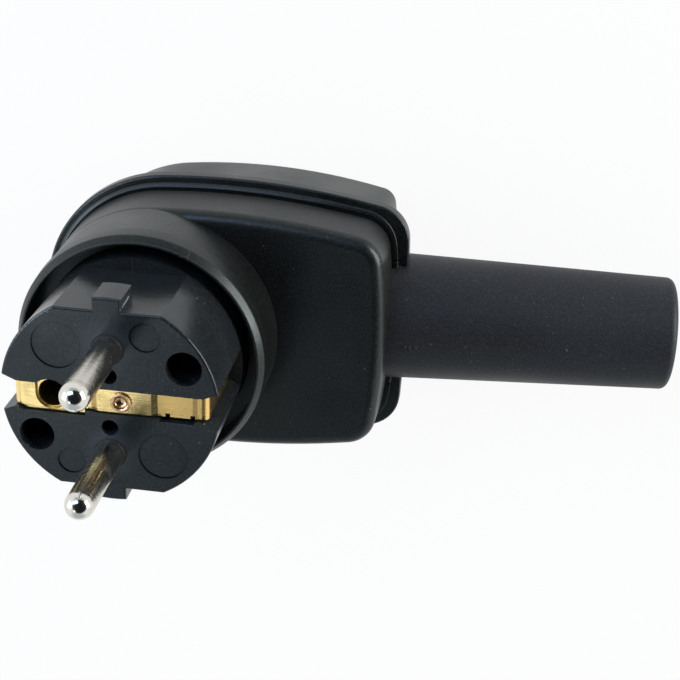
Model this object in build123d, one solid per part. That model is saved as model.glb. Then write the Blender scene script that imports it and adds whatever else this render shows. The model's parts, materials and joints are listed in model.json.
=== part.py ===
from build123d import *
import os
from math import atan2, degrees, radians, sqrt, tan

# Angled rubber plug with two round pins, side earth contacts and an earth socket.
# Millimetres. The origin is the centre of the contact face, midway between the pins.
# The pieces are drawn with the pins pointing along -Y and the cable boot along +X, and a "depth"
# is a distance behind the contact face, along +Y. They are then turned as one so that the plug
# rests on its flat back: the pins point up along +Z and the boot still runs along +X.

# Cable boot
boot_root_x = 39.8
boot_root_depth = 46.0
boot_root_radius = 11.9
boot_end_x = 93.4
boot_fall = 3.34
boot_end_depth = boot_root_depth + boot_fall
boot_taper = 1.46
boot_end_radius = boot_root_radius - boot_taper
boot_end_edge_radius = 1.4
boot_neck_length = 4.6
boot_flange_reach = 1.7
boot_flange_radius = boot_root_radius + boot_flange_reach
boot_flange_thickness = 2.2
cable_bore_radius = 5.25

# Front plate, split and flat back of the housing, which stand clear of the boot's root
plate_before_boot = 4.1
plate_thickness = 3.0
split_before_axis = 4.0
back_behind_boot = 2.1
plate_depth = boot_root_depth - boot_root_radius - plate_before_boot
plate_inside = plate_depth + plate_thickness
split_depth = boot_root_depth - split_before_axis
cover_back = boot_root_depth + boot_root_radius + back_behind_boot

# Pins
pin_radius = 2.4
pin_reach = 19.0
pin_spacing = 19.0
pin_root_radius = 2.7
pin_shoulder_depth = 20.0
pin_head_radius = 3.6
pin_head_length = 9.0
pin_head_end = plate_inside + pin_head_length

# Contact carrier
insert_radius = 18.5
face_edge_radius = 0.4
engagement_depth = 17.5
flat_cut = 2.3
flat_half_height = insert_radius - flat_cut
guide_rib_width = 4.8
guide_rib_length = 6.5
carrier_flange_reach = 1.1
carrier_flange_radius = insert_radius + carrier_flange_reach
carrier_flange_front = 25.0
carrier_flange_back = 28.0
carrier_rear_step = 1.0
carrier_rear_radius = insert_radius - carrier_rear_step
carrier_back = plate_inside
chimney_wall = 1.3
chimney_gap = 0.7
chimney_slot_inset = 1.0
chimney_length = 8.0
chimney_end = carrier_back + chimney_length
inspection_hole_radius = 1.45
inspection_hole_spacing = 9.5
inspection_hole_depth = 8.0
recess_depth = 0.25
large_recess_radius = 4.1
large_recess_places = [(-8.67, 9.43), (8.88, -9.19)]
upper_small_recess_radius = 2.5
upper_small_recess_place = (6.21, 12.17)
lower_small_recess_radius = 2.3
lower_small_recess_place = (-6.83, -11.77)

# Screws that hold cover, carrier and body together
housing_screw_inset = 5.94
housing_screw_x = insert_radius - housing_screw_inset
housing_screw_z = 7.35
housing_screw_play = 0.25
screw_well_radius = 3.0
screw_seat_depth = 16.5
housing_screw_head_radius = 2.8
housing_screw_head_height = 2.4
housing_screw_edge_radius = 0.4
housing_screw_radius = 1.75
housing_screw_tail = 8.5
housing_screw_end = carrier_back + housing_screw_tail

# Earth parts
strip_thickness = 0.6
strip_depth = 0.5
strip_joggle = 0.35
strip_half_width = 2.0
strip_span_inset = 2.1
strip_half_span = insert_radius - strip_span_inset
strip_leg_end = 16.0
strip_bend_radius = 1.1
joggle_bend_radius = 0.3
strip_low_edge = 2.9
strip_low_inset = 2.1
strip_low_from_x = strip_low_inset - strip_half_span
strip_low_width = 9.9
strip_pocket_inset = 2.2
strip_pocket_length = 5.8
strip_pocket_to_x = strip_half_span - strip_pocket_inset
strip_pocket_from_x = strip_pocket_to_x - strip_pocket_length
strip_pocket_drop = 1.4
strip_pocket_depth = 4.0
strip_notch_width = 0.8
strip_notch_height = 1.2
strip_notch_inset = 0.8
raised_from_x = -2.1
raised_to_x = 7.0
joggle_run = 0.9
groove_gap = 0.25
earth_hole_x = -10.0
earth_hole_radius = 3.1
earth_hole_depth = 20.0
earth_socket_bore = 2.45
earth_socket_wall = 0.6
earth_socket_end = 18.0
earth_socket_slit = 0.8
earth_socket_ring_length = 6.0
strip_cutout_radius = 2.75
rivet_x = 1.85
rivet_bore = 1.15
rivet_radius = 1.5
rivet_head_radius = 1.75
rivet_head_height = 0.45
rivet_rim_bevel = 0.15
rivet_mouth_flare = 0.2
channel_half_width = 2.3
channel_flare = 1.6

# Terminals
terminal_plate_thickness = 1.2
terminal_block_from_x = 4.6
terminal_block_to_x = 10.4
terminal_half_width = 3.0
terminal_block_length = 8.0
terminal_block_end = carrier_back + terminal_block_length
terminal_corner_radius = 0.8
wire_hole_radius = 1.65
wire_hole_setback = 4.2
wire_hole_depth = carrier_back + wire_hole_setback
terminal_screw_radius = 1.85
terminal_screw_head_radius = 3.0
terminal_screw_head_height = 2.2
terminal_screw_lift = 0.5
screw_slot_width = 0.9
screw_slot_depth = 1.0
screw_edge_radius = 0.5

# Rubber body
body_wall = 2.4
side_draft = 1.7
plate_edge_radius = 2.2
round_end_radius = 22.8
side_arc_radius = 140.0
side_crown_x = 10.0
far_end_x = 42.0
far_arc_radius = 120.0
corner_radius = 6.0
lip_groove_width = 1.3
lip_groove_depth = 0.7
collar_front = 17.4
collar_room = 2.4
collar_bore = insert_radius + collar_room
collar_land = 0.4
collar_bevel = 1.1
collar_bevel_length = 4.2
collar_radius = collar_bore + collar_land + collar_bevel
collar_recess_end = 22.0

# Rear cover
cover_wall = 3.0
first_step_reach = 1.0
first_step_depth = 0.8
bead_reach = 2.15
bead_depth = 2.8
bead_edge_radius = 0.45
bead_far_reach = 2.4
bead_far_arc_radius = 400.0
bead_corner_radius = 7.0
plateau_centre_x = 2.0
plateau_end_radius = 23.4
plateau_side_radius = 114.0
plateau_crown_x = 13.0
plateau_far_inset = 0.2
plateau_far_x = far_end_x - plateau_far_inset
plateau_corner_radius = 3.6
plateau_draft = 2.0
plateau_edge_radius = 2.6
tongue_length = 2.8
tongue_thickness = 1.6
post_radius = 4.2
insert_nut_radius = 2.9
insert_nut_length = 7.5
insert_nut_groove = 0.35
insert_nut_groove_length = 1.0
insert_nut_groove_slope = 0.3

# Cord clamp
clamp_x = 28.0
clamp_width = 6.0
clamp_half_height = 12.6
clamp_base_corner_radius = 1.0
clamp_bar_corner_radius = 1.2
clamp_rib_height = 1.0
clamp_rib_half_width = 2.5
clamp_base_front = plate_inside + clamp_rib_height
clamp_bar_thickness = 1.6
clamp_bar_width = 5.0
clamp_groove_radius = 5.4
clamp_screw_z = 9.4
clamp_screw_radius = 1.75
clamp_screw_head_radius = 2.9
clamp_screw_head_height = 2.2
clamp_screw_short = 1.5
clamp_screw_end = clamp_base_front + clamp_screw_short
clamp_grip_gap = 2.4

# Clearances
fit_gap = 0.05
seat_gap = 0.15
boot_gap = 0.1

# How far a cut runs on beyond the surface it opens, and a form into the one it joins
over = 1.0
join_over = 0.5


def plane_at(depth):
    """Drawing plane across the plug at a depth, with local x along X and local y along Z."""
    return Plane(origin=(0, depth, 0), x_dir=(1, 0, 0), z_dir=(0, -1, 0))


def slab(profile, front, back):
    """A profile of the X-Z plane made solid between two depths."""
    return extrude(plane_at(back) * profile, back - front)


def rod(radius, front, back, x=0.0, z=0.0):
    """A round rod along Y."""
    return slab(Pos(x, z) * Circle(radius), front, back)


def block(x_from, x_to, front, back, z_from, z_to):
    """A box given by its corners."""
    size = Box(x_to - x_from, back - front, z_to - z_from)
    return Pos((x_from + x_to) / 2, (front + back) / 2, (z_from + z_to) / 2) * size


def turned(outline, x=0.0, z=0.0):
    """A turned piece from (radius, depth) points, on an axis along Y."""
    return Pos(x, 0, z) * revolve(make_face(Polyline(*outline, close=True)), Axis.Y)


def cross_rod(radius, x_from, x_to, depth, z=0.0):
    """A round rod along X."""
    along_x = Plane(origin=(x_from, depth, z), x_dir=(0, 1, 0), z_dir=(1, 0, 0))
    return extrude(along_x * Circle(radius), x_to - x_from)


def rounded_end_outline(centre_x, end_radius, side_radius, crown_x, far_x, far_radius, corner):
    """Round at one end, long convex sides tangent to that end, a bulged wall at the other."""
    crown_offset = crown_x - centre_x
    side_centre_z = sqrt((side_radius - end_radius) ** 2 - crown_offset ** 2)
    tangent_x = centre_x - crown_offset * end_radius / (side_radius - end_radius)
    upper_side = Pos(crown_x, -side_centre_z) * Circle(side_radius)
    lower_side = Pos(crown_x, side_centre_z) * Circle(side_radius)
    far_wall = Pos(far_x - far_radius, 0) * Circle(far_radius)
    beyond_tangent = Pos(tangent_x + far_x, 0) * Rectangle(2 * far_x, 4 * end_radius)
    straight_part = upper_side & lower_side & far_wall & beyond_tangent
    whole = Pos(centre_x, 0) * Circle(end_radius) + straight_part
    return fillet(whole.vertices().sort_by(Axis.X)[-2:], corner)


def body_outline(grow=0.0):
    """Outline of the body at the split, larger all round by grow."""
    return rounded_end_outline(0, round_end_radius + grow, side_arc_radius + grow, side_crown_x,
                               far_end_x + grow, far_arc_radius + grow, corner_radius + grow)


def bead_outline():
    """Outline of the cover's bead, squarer than the body at its far corners."""
    return rounded_end_outline(0, round_end_radius + bead_reach, side_arc_radius + bead_reach, side_crown_x,
                               far_end_x + bead_far_reach, bead_far_arc_radius, bead_corner_radius)


def plateau_outline(grow=0.0):
    """Outline of the raised back of the cover where it leaves the bead."""
    return rounded_end_outline(plateau_centre_x, plateau_end_radius + grow, plateau_side_radius + grow,
                               plateau_crown_x, plateau_far_x + grow, far_arc_radius + grow,
                               plateau_corner_radius + max(grow, -plateau_corner_radius / 2))


def housing_screw_places():
    """The two screw axes, on opposite corners of the face."""
    return [(housing_screw_x, housing_screw_z), (-housing_screw_x, -housing_screw_z)]


def boot_lean():
    """Angle in degrees by which the boot leans back from the contact face."""
    return degrees(atan2(boot_end_depth - boot_root_depth, boot_end_x - boot_root_x))


def boot_frame():
    """Plane at the boot's root, with its normal along the boot and its local x towards the face."""
    run = boot_end_x - boot_root_x
    fall = boot_end_depth - boot_root_depth
    return Plane(origin=(boot_root_x, boot_root_depth, 0), x_dir=(fall, -run, 0), z_dir=(run, fall, 0))


def boot_rod(radius, start, end):
    """A round rod on the boot's axis, between two distances from its root."""
    return extrude(boot_frame().offset(start) * Circle(radius), end - start)


def boot_depth_at(x):
    """Depth of the boot's axis at an X."""
    return boot_root_depth + (x - boot_root_x) * tan(radians(boot_lean()))


def strip_outline():
    """The earth strip seen from the face, bends left out."""
    upright = Rectangle(2 * strip_half_span, 2 * strip_half_width)
    low_middle_x = strip_low_from_x + strip_low_width / 2
    low_part = Pos(low_middle_x, -strip_low_edge / 2) * Rectangle(strip_low_width, strip_low_edge)
    slope = make_face(Polyline((-strip_half_span, 0), (-strip_half_span, -strip_half_width),
                               (strip_low_from_x, -strip_low_edge), (strip_low_from_x, 0), close=True))
    return upright + low_part + slope


def strip_cutout():
    """The opening round the earth socket, open towards +Z."""
    width = 2 * strip_cutout_radius
    above = Pos(earth_hole_x, strip_half_width) * Rectangle(width, 2 * strip_half_width)
    return Pos(earth_hole_x, 0) * Circle(strip_cutout_radius) + above


def edge_notches():
    """Two small notches in the strip's lower edge, at the ends of the pocket below it."""
    notch = Rectangle(strip_notch_width, strip_notch_height)
    places = (strip_pocket_from_x + 1.5 * strip_notch_inset, strip_pocket_to_x - strip_notch_inset / 2)
    return [Pos(x, -strip_half_width) * notch for x in places]


def make_earth_strip():
    """Brass strip across the face, bent back into a leg at each side."""
    raised = strip_depth
    lowered = strip_depth + strip_joggle
    path = FilletPolyline(
        (-strip_half_span, strip_leg_end), (-strip_half_span, lowered),
        (raised_from_x - joggle_run, lowered), (raised_from_x, raised),
        (raised_to_x, raised), (raised_to_x + joggle_run, lowered),
        (strip_half_span, lowered), (strip_half_span, strip_leg_end),
        radius=[strip_bend_radius, *[joggle_bend_radius] * 4, strip_bend_radius],
    )
    ribbon = make_face(offset(path, strip_thickness, side=Side.RIGHT))
    if ribbon.bounding_box().max.X > strip_half_span + strip_thickness / 2:
        ribbon = make_face(offset(path, strip_thickness, side=Side.LEFT))
    bent = Pos(0, 0, -strip_low_edge) * extrude(ribbon, 2 * strip_low_edge, dir=(0, 0, 1))
    strip = bent & slab(strip_outline(), -over, strip_leg_end + over)
    strip -= slab(strip_cutout(), -over, lowered + strip_thickness + over)
    for notch in edge_notches():
        strip -= slab(notch, -over, lowered + strip_thickness + over)
    strip -= rod(rivet_radius + fit_gap, -over, lowered + strip_thickness + over, rivet_x)
    return strip


def make_earth_rivet():
    """Hollow rivet through strip, carrier and earth terminal."""
    head_front = strip_depth - rivet_head_height
    tail = carrier_back + terminal_plate_thickness
    bevel_back = head_front + rivet_rim_bevel
    outline = [(rivet_bore, bevel_back), (rivet_bore + rivet_mouth_flare, head_front),
               (rivet_head_radius - rivet_rim_bevel, head_front), (rivet_head_radius, bevel_back),
               (rivet_head_radius, strip_depth), (rivet_radius, strip_depth), (rivet_radius, tail),
               (rivet_head_radius, tail), (rivet_head_radius, tail + rivet_head_height),
               (rivet_bore, tail + rivet_head_height)]
    return turned(outline, rivet_x)


def make_earth_socket():
    """Slit brass sleeve behind the strip that takes a fixed earth pin."""
    front = strip_depth + strip_joggle + strip_thickness
    outer = earth_socket_bore + earth_socket_wall
    sleeve = rod(outer, front, earth_socket_end, earth_hole_x)
    sleeve -= rod(earth_socket_bore, front - over, earth_socket_end + over, earth_hole_x)
    slit_front = front + earth_socket_ring_length
    slit = block(earth_hole_x - outer - over, earth_hole_x + outer + over, slit_front,
                 earth_socket_end + over, -earth_socket_slit / 2, earth_socket_slit / 2)
    return sleeve - slit


def make_earth_terminal():
    """Riveted plate with a raised block that takes the earth wire."""
    plate_back = carrier_back + terminal_plate_thickness
    plate = block(rivet_x - terminal_half_width, terminal_block_to_x, carrier_back, plate_back,
                  -terminal_half_width, terminal_half_width)
    pillar = block(terminal_block_from_x, terminal_block_to_x, plate_back, terminal_block_end,
                   -terminal_half_width, terminal_half_width)
    terminal = fillet((plate + pillar).edges().filter_by(Axis.Y), terminal_corner_radius)
    screw_x = (terminal_block_from_x + terminal_block_to_x) / 2
    terminal -= cross_rod(wire_hole_radius, terminal_block_from_x - over, terminal_block_to_x + over,
                          wire_hole_depth)
    terminal -= rod(terminal_screw_radius + fit_gap, wire_hole_depth, terminal_block_end + over, screw_x)
    return terminal - rod(rivet_radius + fit_gap, carrier_back - over, plate_back + over, rivet_x)


def make_slotted_screw(shank_radius, head_radius, head_height, tip, seat, x, z):
    """Screw driven from behind: the tip is in front, the slotted head behind its seat."""
    head_back = seat + head_height
    screw = rod(shank_radius, tip, seat, x, z) + rod(head_radius, seat, head_back, x, z)
    rim = screw.edges().filter_by(GeomType.CIRCLE).sort_by(Axis.Y)[-1]
    screw = fillet(rim, screw_edge_radius)
    slot = block(x - screw_slot_width / 2, x + screw_slot_width / 2, head_back - screw_slot_depth,
                 head_back + over, z - head_radius - over, z + head_radius + over)
    return screw - slot


def make_terminal_screw(block_end, x, z):
    """Screw that presses on the wire in its cross hole."""
    tip = wire_hole_depth + wire_hole_radius / 2
    return make_slotted_screw(terminal_screw_radius, terminal_screw_head_radius,
                              terminal_screw_head_height, tip, block_end + terminal_screw_lift, x, z)


def make_pin(z):
    """Solid pin with a ball end, a thicker root in the carrier, a shoulder and a drilled head."""
    ball_centre = -(pin_reach - pin_radius)
    pin = rod(pin_radius, ball_centre, 0, 0, z) + Pos(0, ball_centre, z) * Sphere(pin_radius)
    pin += rod(pin_root_radius, 0, pin_shoulder_depth, 0, z)
    pin += rod(pin_head_radius, pin_shoulder_depth, pin_head_end, 0, z)
    pin -= cross_rod(wire_hole_radius, -pin_head_radius - over, pin_head_radius + over, wire_hole_depth, z)
    return pin - rod(terminal_screw_radius + fit_gap, wire_hole_depth, pin_head_end + over, 0, z)


def side_channel(side):
    """Flared channel beside a strip leg, on the +X side for 1 and the -X side for -1."""
    floor_x = strip_half_span - strip_thickness - fit_gap
    rim_x = insert_radius + over
    rim_half_width = channel_half_width + channel_flare
    flared = make_face(Polyline((side * floor_x, -channel_half_width), (side * floor_x, channel_half_width),
                                (side * rim_x, rim_half_width), (side * rim_x, -rim_half_width), close=True))
    return slab(flared, -over, engagement_depth)


def bare_recesses():
    """Four shallow round recesses in the face: radius and place."""
    large = [(large_recess_radius, place) for place in large_recess_places]
    return large + [(upper_small_recess_radius, upper_small_recess_place),
                    (lower_small_recess_radius, lower_small_recess_place)]


def carrier_blank():
    """The carrier's outer form: flatted plug end, seat flange, rear boss and wire chimneys."""
    flatted = Circle(insert_radius) & Rectangle(2 * insert_radius, 2 * flat_half_height)
    ribbed = flatted + (Circle(insert_radius) & Rectangle(guide_rib_width, 2 * insert_radius))
    nose = slab(flatted, 0, engagement_depth) + slab(ribbed, 0, guide_rib_length)
    front_edges = nose.edges().group_by(Axis.Y)[0]
    blank = fillet(front_edges, face_edge_radius)
    blank += rod(insert_radius, engagement_depth, carrier_flange_front)
    blank += rod(carrier_flange_radius, carrier_flange_front, carrier_flange_back)
    blank += rod(carrier_rear_radius, carrier_flange_back, carrier_back)
    inner = pin_head_radius + chimney_gap
    outer = inner + chimney_wall
    slot = inner - chimney_slot_inset
    for z in (-pin_spacing / 2, pin_spacing / 2):
        chimney = rod(outer, carrier_back, chimney_end, 0, z)
        chimney -= rod(inner, carrier_back, chimney_end + over, 0, z)
        chimney -= block(0, outer + over, carrier_back, chimney_end + over, z - slot, z + slot)
        blank += chimney
    return blank


def make_contact_carrier():
    """Moulded carrier that holds the pins and the earth parts."""
    carrier = carrier_blank()
    for z in (-pin_spacing / 2, pin_spacing / 2):
        carrier -= rod(pin_root_radius + fit_gap, -over, pin_shoulder_depth, 0, z)
        carrier -= rod(pin_head_radius + seat_gap, pin_shoulder_depth, carrier_back + over, 0, z)
    for z in (-inspection_hole_spacing / 2, inspection_hole_spacing / 2):
        carrier -= rod(inspection_hole_radius, -over, inspection_hole_depth, 0, z)
    for x, z in housing_screw_places():
        carrier -= rod(screw_well_radius, -over, screw_seat_depth, x, z)
        carrier -= rod(housing_screw_radius + housing_screw_play, screw_seat_depth,
                       carrier_back + over, x, z)
    for radius, place in bare_recesses():
        carrier -= rod(radius, -over, recess_depth, *place)
    groove = offset(strip_outline(), groove_gap)
    raised_floor = strip_depth + strip_thickness
    lowered_floor = raised_floor + strip_joggle
    island = block(raised_from_x + groove_gap, raised_to_x - groove_gap, raised_floor, lowered_floor,
                   -insert_radius, insert_radius)
    carrier -= slab(groove, -over, lowered_floor) - island
    carrier -= side_channel(1) + side_channel(-1)
    bend_x = strip_half_span - strip_thickness - fit_gap
    for side in (-1, 1):
        relief_from, relief_to = sorted((side * bend_x, side * (bend_x - strip_bend_radius / 2)))
        carrier -= block(relief_from, relief_to, -over, lowered_floor + strip_bend_radius / 2,
                         -channel_half_width, channel_half_width)
    carrier -= rod(earth_hole_radius, -over, earth_hole_depth, earth_hole_x)
    carrier -= block(strip_pocket_from_x, strip_pocket_to_x, -over, strip_pocket_depth,
                     -strip_half_width - strip_pocket_drop, -strip_half_width)
    return carrier - rod(rivet_radius + fit_gap, -over, carrier_back + over, rivet_x)


def collar_ring():
    """The turned collar in front of the plate, bevelled outside at its rim."""
    outline = [(collar_bore, collar_recess_end + over), (collar_bore, collar_front),
               (collar_bore + collar_land, collar_front),
               (collar_radius, collar_front + collar_bevel_length),
               (collar_radius, plate_depth + plate_edge_radius),
               (insert_radius, plate_depth + plate_edge_radius), (insert_radius, collar_recess_end + over)]
    return turned(outline)


def body_shell():
    """Outer form of the body: drafted sides, rounded front plate, collar."""
    shell = extrude(plane_at(split_depth) * body_outline(), split_depth - plate_depth, taper=side_draft)
    shell = fillet(shell.edges().group_by(Axis.Y)[0], plate_edge_radius)
    return shell + collar_ring()


def make_body_housing():
    """Rubber body, open at the back, with the collar that surrounds the carrier."""
    body = body_shell()
    body -= extrude(plane_at(split_depth) * body_outline(-body_wall), split_depth - plate_inside,
                    taper=side_draft)
    body -= rod(insert_radius + seat_gap, collar_front - over, plate_inside)
    body -= rod(collar_bore, collar_front - over, collar_recess_end)
    body -= rod(carrier_flange_radius + seat_gap, carrier_flange_front, plate_inside)
    body -= boot_rod(boot_root_radius + boot_gap, -boot_neck_length - over, boot_neck_length)
    for z_side in (-1, 1):
        rib_z = z_side * clamp_screw_z
        body += block(clamp_x - clamp_width / 2, clamp_x + clamp_width / 2, plate_inside, clamp_base_front,
                      rib_z - clamp_rib_half_width, rib_z + clamp_rib_half_width)
    groove = body_outline(first_step_reach) - body_outline(-lip_groove_depth)
    return body - slab(groove, split_depth - lip_groove_width, split_depth + over)


def cover_shell():
    """Outer form of the cover: two steps of bead, then the drafted plateau with a round edge."""
    first_back = split_depth + first_step_depth
    bead_back = first_back + bead_depth
    first_step = slab(body_outline(first_step_reach), split_depth, first_back + join_over)
    first_step = fillet(first_step.edges().group_by(Axis.Y)[0], first_step_depth / 2)
    bead = slab(bead_outline(), first_back, bead_back)
    bead = fillet(bead.edges().group_by(Axis.Y)[0] + bead.edges().group_by(Axis.Y)[-1], bead_edge_radius)
    plateau_root = Plane(origin=(0, bead_back - join_over, 0), x_dir=(1, 0, 0), z_dir=(0, 1, 0))
    plateau_rise = cover_back - bead_back + join_over
    plateau = extrude(plateau_root * mirror(plateau_outline(), Plane.XZ), plateau_rise, taper=plateau_draft)
    plateau = fillet(plateau.edges().group_by(Axis.Y)[-1], plateau_edge_radius)
    return first_step + bead + plateau


def make_rear_cover():
    """Cover with its tongue into the body and the two posts that clamp the carrier."""
    cover = cover_shell()
    floor = cover_back - cover_wall
    bead_back = split_depth + first_step_depth + bead_depth
    tongue_grow = -body_wall - seat_gap
    cover += slab(body_outline(tongue_grow), split_depth - tongue_length, split_depth)
    tongue_hollow = body_outline(tongue_grow - tongue_thickness)
    cover -= slab(tongue_hollow, split_depth - tongue_length - over, bead_back)
    cover -= slab(plateau_outline(-cover_wall), bead_back - over, floor)
    for x, z in housing_screw_places():
        cover += rod(post_radius, carrier_back, floor, x, z)
        cover -= rod(insert_nut_radius + fit_gap, carrier_back - over,
                     carrier_back + insert_nut_length + fit_gap, x, z)
        cover -= rod(housing_screw_radius + housing_screw_play, carrier_back, housing_screw_end + 2 * over,
                     x, z)
    cover -= boot_rod(boot_root_radius + boot_gap, -boot_neck_length - boot_flange_thickness - over,
                      boot_neck_length + bead_reach + 2 * over)
    flange_room = boot_rod(boot_flange_radius + seat_gap, -boot_neck_length - seat_gap,
                           -boot_neck_length + boot_flange_thickness + seat_gap)
    return cover - (flange_room & block(0, far_end_x, plate_depth, floor, -boot_end_x, boot_end_x))


def make_cable_boot():
    """Tapered sleeve that leans back a little, with a flange trapped behind the end wall."""
    length = sqrt((boot_end_x - boot_root_x) ** 2 + (boot_end_depth - boot_root_depth) ** 2)
    frame = boot_frame()
    sleeve = loft([frame * Circle(boot_root_radius), frame.offset(length) * Circle(boot_end_radius)])
    sleeve = fillet(sleeve.edges().sort_by(Axis.X)[-1], boot_end_edge_radius)
    boot = sleeve + boot_rod(boot_root_radius, -boot_neck_length, 0)
    flange_back = -boot_neck_length + boot_flange_thickness
    flange = boot_rod(boot_flange_radius, -boot_neck_length, flange_back)
    front_limit = plate_inside + seat_gap
    back_limit = cover_back - cover_wall - seat_gap
    flange &= block(0, boot_end_x, front_limit, back_limit, -boot_flange_radius, boot_flange_radius)
    boot += flange
    return boot - boot_rod(cable_bore_radius, -boot_neck_length - over, length + over)


def clamp_seat_depth():
    """Depth of the clamp base's rear face, short of the cord's axis by half the grip gap."""
    return boot_depth_at(clamp_x) - clamp_grip_gap / 2


def make_clamp_base():
    """Saddle under the cord, tapped for the two clamp screws."""
    base = block(clamp_x - clamp_width / 2, clamp_x + clamp_width / 2, clamp_base_front,
                 clamp_seat_depth(), -clamp_half_height, clamp_half_height)
    base = fillet(base.edges().filter_by(Axis.Y), clamp_base_corner_radius)
    base -= cross_rod(clamp_groove_radius, clamp_x - clamp_width, clamp_x + clamp_width,
                      boot_depth_at(clamp_x))
    for z in (-clamp_screw_z, clamp_screw_z):
        base -= rod(clamp_screw_radius + fit_gap, clamp_base_front - over, clamp_seat_depth() + over,
                    clamp_x, z)
    return base


def clamp_bar_front():
    """Depth of the bar's front face at its screw ends."""
    return boot_depth_at(clamp_x) + clamp_grip_gap / 2


def make_clamp_bar():
    """Bent steel bar that presses the cord into the saddle."""
    front = clamp_bar_front()
    axis_depth = boot_depth_at(clamp_x)
    half_width = clamp_bar_width / 2
    ends = block(clamp_x - half_width, clamp_x + half_width, front, front + clamp_bar_thickness,
                 -clamp_half_height, clamp_half_height)
    ends = fillet(ends.edges().filter_by(Axis.Y), clamp_bar_corner_radius)
    arch = cross_rod(clamp_groove_radius + clamp_bar_thickness, clamp_x - half_width, clamp_x + half_width,
                     axis_depth)
    arch &= block(clamp_x - clamp_width, clamp_x + clamp_width, front, cover_back, -clamp_half_height,
                  clamp_half_height)
    bar = ends + arch
    bar -= cross_rod(clamp_groove_radius, clamp_x - clamp_width, clamp_x + clamp_width, axis_depth)
    for z in (-clamp_screw_z, clamp_screw_z):
        bar -= rod(clamp_screw_radius + seat_gap, front - over, front + clamp_bar_thickness + over,
                   clamp_x, z)
    return bar


def make_clamp_screw(z):
    """Screw through the bar into the saddle."""
    seat = clamp_bar_front() + clamp_bar_thickness
    return make_slotted_screw(clamp_screw_radius, clamp_screw_head_radius, clamp_screw_head_height,
                              clamp_screw_end, seat, clamp_x, z)


def make_housing_screw(x, z):
    """Long screw driven from the face: slotted head at the bottom of its well."""
    head_front = screw_seat_depth - housing_screw_head_height
    screw = rod(housing_screw_radius, screw_seat_depth, housing_screw_end, x, z)
    screw += rod(housing_screw_head_radius, head_front, screw_seat_depth, x, z)
    rim = screw.edges().filter_by(GeomType.CIRCLE).sort_by(Axis.Y)[0]
    screw = fillet(rim, housing_screw_edge_radius)
    reach = housing_screw_head_radius + over
    slot = block(x - reach, x + reach, head_front - over, head_front + screw_slot_depth,
                 z - screw_slot_width / 2, z + screw_slot_width / 2)
    return screw - slot


def make_threaded_insert(x, z):
    """Brass insert in the cover post, with a retaining groove round its waist."""
    back = carrier_back + insert_nut_length
    waist_front = (carrier_back + back - insert_nut_groove_length) / 2
    waist_back = waist_front + insert_nut_groove_length
    waist_radius = insert_nut_radius - insert_nut_groove
    bore = housing_screw_radius + fit_gap
    outline = [(bore, carrier_back), (insert_nut_radius, carrier_back),
               (insert_nut_radius, waist_front - insert_nut_groove_slope), (waist_radius, waist_front),
               (waist_radius, waist_back), (insert_nut_radius, waist_back + insert_nut_groove_slope),
               (insert_nut_radius, back), (bore, back)]
    return turned(outline, x, z)


def all_pieces():
    """Every separate piece of the plug by its node name."""
    upper = pin_spacing / 2
    screw_right, screw_left = housing_screw_places()
    earth_screw_x = (terminal_block_from_x + terminal_block_to_x) / 2
    return {
        "body_housing": make_body_housing(),
        "rear_cover": make_rear_cover(),
        "cable_boot": make_cable_boot(),
        "contact_carrier": make_contact_carrier(),
        "pin_upper": make_pin(upper),
        "pin_lower": make_pin(-upper),
        "earth_strip": make_earth_strip(),
        "earth_rivet": make_earth_rivet(),
        "earth_socket": make_earth_socket(),
        "earth_terminal": make_earth_terminal(),
        "terminal_screw_upper": make_terminal_screw(pin_head_end, 0, upper),
        "terminal_screw_lower": make_terminal_screw(pin_head_end, 0, -upper),
        "terminal_screw_earth": make_terminal_screw(terminal_block_end, earth_screw_x, 0),
        "housing_screw_right": make_housing_screw(*screw_right),
        "housing_screw_left": make_housing_screw(*screw_left),
        "threaded_insert_right": make_threaded_insert(*screw_right),
        "threaded_insert_left": make_threaded_insert(*screw_left),
        "clamp_base": make_clamp_base(),
        "clamp_bar": make_clamp_bar(),
        "clamp_screw_upper": make_clamp_screw(clamp_screw_z),
        "clamp_screw_lower": make_clamp_screw(-clamp_screw_z),
    }


on_its_back = Rot(X=-90)

os.makedirs("parts", exist_ok=True)
for node, piece in all_pieces().items():
    laid = on_its_back * piece
    export_step(laid, f"parts/{node}.step")
    box = laid.bounding_box()
    print(node, round(laid.volume, 1), [round(v, 2) for v in (*box.min, *box.max)])
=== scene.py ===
"""Looks of the angled rubber plug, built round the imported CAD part.

Metres, in the part's own frame: the plug rests on its back, the pins point up along +Z,
the cable boot runs along +X, and the origin is the middle of the contact face.
"""
import json
import math

import bmesh
import bpy
from mathutils import Matrix, Vector
from mathutils.bvhtree import BVHTree


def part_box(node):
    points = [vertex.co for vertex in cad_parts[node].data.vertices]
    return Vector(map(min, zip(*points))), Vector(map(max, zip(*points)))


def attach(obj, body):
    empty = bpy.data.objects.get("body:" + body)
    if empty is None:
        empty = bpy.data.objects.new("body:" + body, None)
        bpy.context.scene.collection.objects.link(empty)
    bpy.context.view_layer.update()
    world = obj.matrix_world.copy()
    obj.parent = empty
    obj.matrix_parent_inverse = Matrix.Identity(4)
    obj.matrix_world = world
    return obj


MM = 0.001

# Camera, fitted to the pins, the face and the collar
PHOTO_SIZE = 680
CAMERA_PLACE = Vector((0.062312, 0.107276, 0.196079))
CAMERA_RIGHT = Vector((0.988878, 0.039578, -0.143369))
CAMERA_UP = Vector((-0.096124, 0.905645, -0.412998))
CAMERA_LOOK = Vector((-0.113496, -0.422186, -0.899376))
LENS_MM = 74.105
SENSOR_MM = 36.0

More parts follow.
